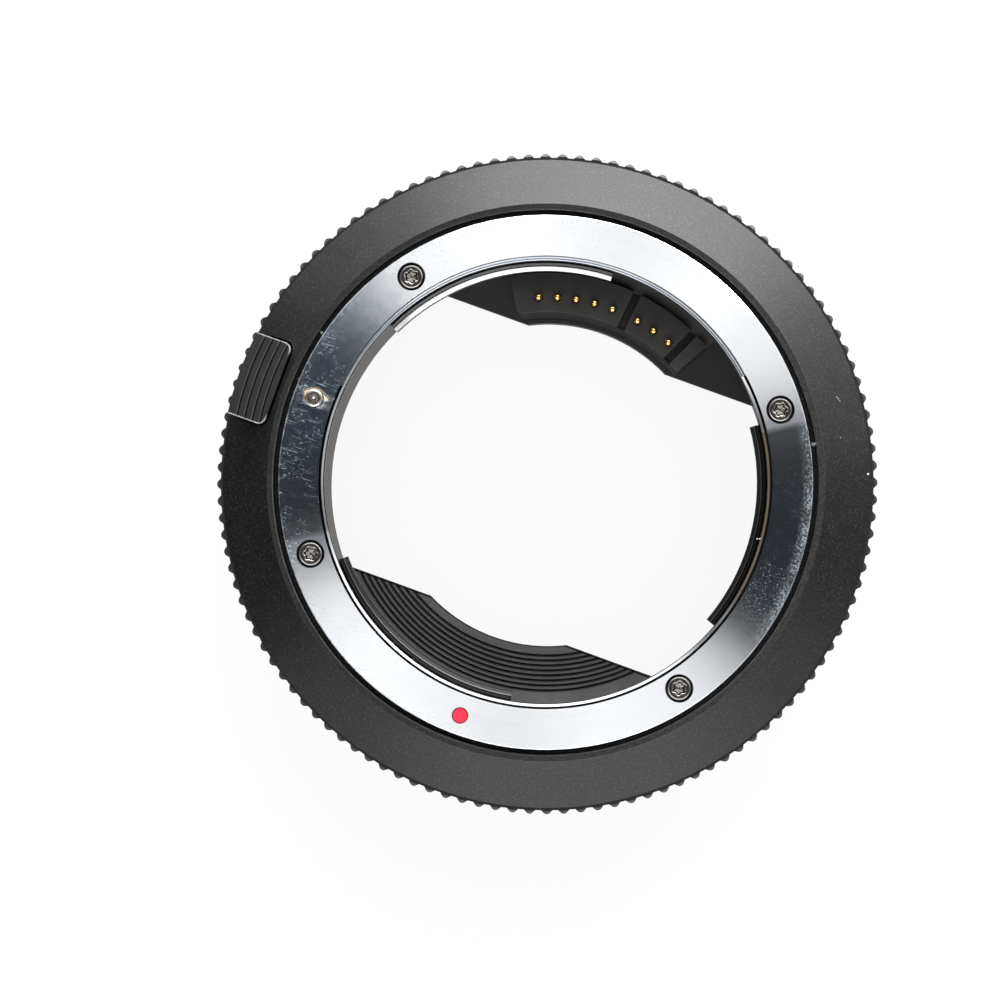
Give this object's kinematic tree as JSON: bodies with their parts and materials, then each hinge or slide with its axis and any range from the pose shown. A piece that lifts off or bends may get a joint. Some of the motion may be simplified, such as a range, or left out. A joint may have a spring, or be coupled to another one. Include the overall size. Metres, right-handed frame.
{
  "type": "lens mount adapter",
  "caption": "Short black adapter ring with a bright lens bayonet, contact block, sliding release lever and knurled control ring, and a male camera bayonet behind.",
  "frame": {"origin": "on the optical axis, at the plane of the camera bayonet's rear end, which is the rest plane", "axes": "+Z along the optical axis to the lens side; +Y to the red index dot, -Y to the contacts; +X to the lock pin and the release lever"},
  "size_m": [0.0806, 0.0806, 0.0243],
  "materials": {
    "bright_metal": "fine turned, plated",
    "black_metal": "matte black anodised",
    "black_plastic": "fine matte black",
    "dark_screw": "blackened steel",
    "spring_steel": "drawn",
    "gold": "gold plated",
    "red_paint": "enamel",
    "white_paint": "enamel",
    "board": "solder mask",
    "chip": "moulded",
    "flex": "polyimide film",
    "magnet": "magnetic rubber"
  },
  "bodies": {
    "body": {"lens_mount_ring": "bright_metal", "rear_mount": "bright_metal", "front_shell": "black_metal", "rear_body": "black_metal", "inner_barrel": "black_plastic", "lens_contact_block": "black_plastic", "rear_shield": "black_plastic", "rear_contact_block": "black_plastic", "lens_ring_screws": "dark_screw", "rear_mount_screws": "dark_screw", "barrel_screws": "dark_screw", "contact_block_screws": "dark_screw", "board_screws": "dark_screw", "bayonet_leaf_springs": "spring_steel", "lock_pin_spring": "spring_steel", "detent_spring": "spring_steel", "contact_spring_1": "spring_steel", "contact_spring_2": "spring_steel", "contact_spring_3": "spring_steel", "contact_spring_4": "spring_steel", "contact_spring_5": "spring_steel", "contact_spring_6": "spring_steel", "contact_spring_7": "spring_steel", "contact_spring_8": "spring_steel", "rear_contacts": "gold", "lens_index_dot": "red_paint", "rear_index_dot": "white_paint", "circuit_board": "board", "controller_chip": "chip", "ring_sensor": "chip", "lens_flex": "flex", "camera_flex": "flex"},
    "control_ring": {"control_ring": "black_metal", "code_band": "magnet"},
    "release": {"release_lever": "black_metal", "lock_pin": "spring_steel"},
    "click_ball": {"detent_ball": "spring_steel"},
    "contact_1": {"contact_pin_1": "gold"},
    "contact_2": {"contact_pin_2": "gold"},
    "contact_3": {"contact_pin_3": "gold"},
    "contact_4": {"contact_pin_4": "gold"},
    "contact_5": {"contact_pin_5": "gold"},
    "contact_6": {"contact_pin_6": "gold"},
    "contact_7": {"contact_pin_7": "gold"},
    "contact_8": {"contact_pin_8": "gold"}
  },
  "joints": [
    {"name": "control_ring_turn", "type": "hinge", "parent": "body", "child": "control_ring", "pos_m": [0, 0, 0.013], "axis": [0, 0, 1], "continuous": true},
    {"name": "release_slide", "type": "slide", "parent": "body", "child": "release", "axis": [0, 0, -1], "range_m": [0, 0.002], "stiffness_N_per_m": 500, "springref_m": -0.002, "deforming": ["lock_pin_spring"]},
    {"name": "click_ball_press", "type": "slide", "parent": "body", "child": "click_ball", "axis": [0, 0, -1], "range_m": [0, 0.0005], "stiffness_N_per_m": 400, "springref_m": -0.0005, "deforming": ["detent_spring"]},
    {"name": "contact_1_press", "type": "slide", "parent": "body", "child": "contact_1", "axis": [0, 0, -1], "range_m": [0, 0.001], "stiffness_N_per_m": 300, "springref_m": -0.0007, "deforming": ["contact_spring_1"]},
    {"name": "contact_2_press", "type": "slide", "parent": "body", "child": "contact_2", "axis": [0, 0, -1], "range_m": [0, 0.001], "stiffness_N_per_m": 300, "springref_m": -0.0007, "deforming": ["contact_spring_2"]},
    {"name": "contact_3_press", "type": "slide", "parent": "body", "child": "contact_3", "axis": [0, 0, -1], "range_m": [0, 0.001], "stiffness_N_per_m": 300, "springref_m": -0.0007, "deforming": ["contact_spring_3"]},
    {"name": "contact_4_press", "type": "slide", "parent": "body", "child": "contact_4", "axis": [0, 0, -1], "range_m": [0, 0.001], "stiffness_N_per_m": 300, "springref_m": -0.0007, "deforming": ["contact_spring_4"]},
    {"name": "contact_5_press", "type": "slide", "parent": "body", "child": "contact_5", "axis": [0, 0, -1], "range_m": [0, 0.001], "stiffness_N_per_m": 300, "springref_m": -0.0007, "deforming": ["contact_spring_5"]},
    {"name": "contact_6_press", "type": "slide", "parent": "body", "child": "contact_6", "axis": [0, 0, -1], "range_m": [0, 0.001], "stiffness_N_per_m": 300, "springref_m": -0.0007, "deforming": ["contact_spring_6"]},
    {"name": "contact_7_press", "type": "slide", "parent": "body", "child": "contact_7", "axis": [0, 0, -1], "range_m": [0, 0.001], "stiffness_N_per_m": 300, "springref_m": -0.0007, "deforming": ["contact_spring_7"]},
    {"name": "contact_8_press", "type": "slide", "parent": "body", "child": "contact_8", "axis": [0, 0, -1], "range_m": [0, 0.001], "stiffness_N_per_m": 300, "springref_m": -0.0007, "deforming": ["contact_spring_8"]}
  ]
}
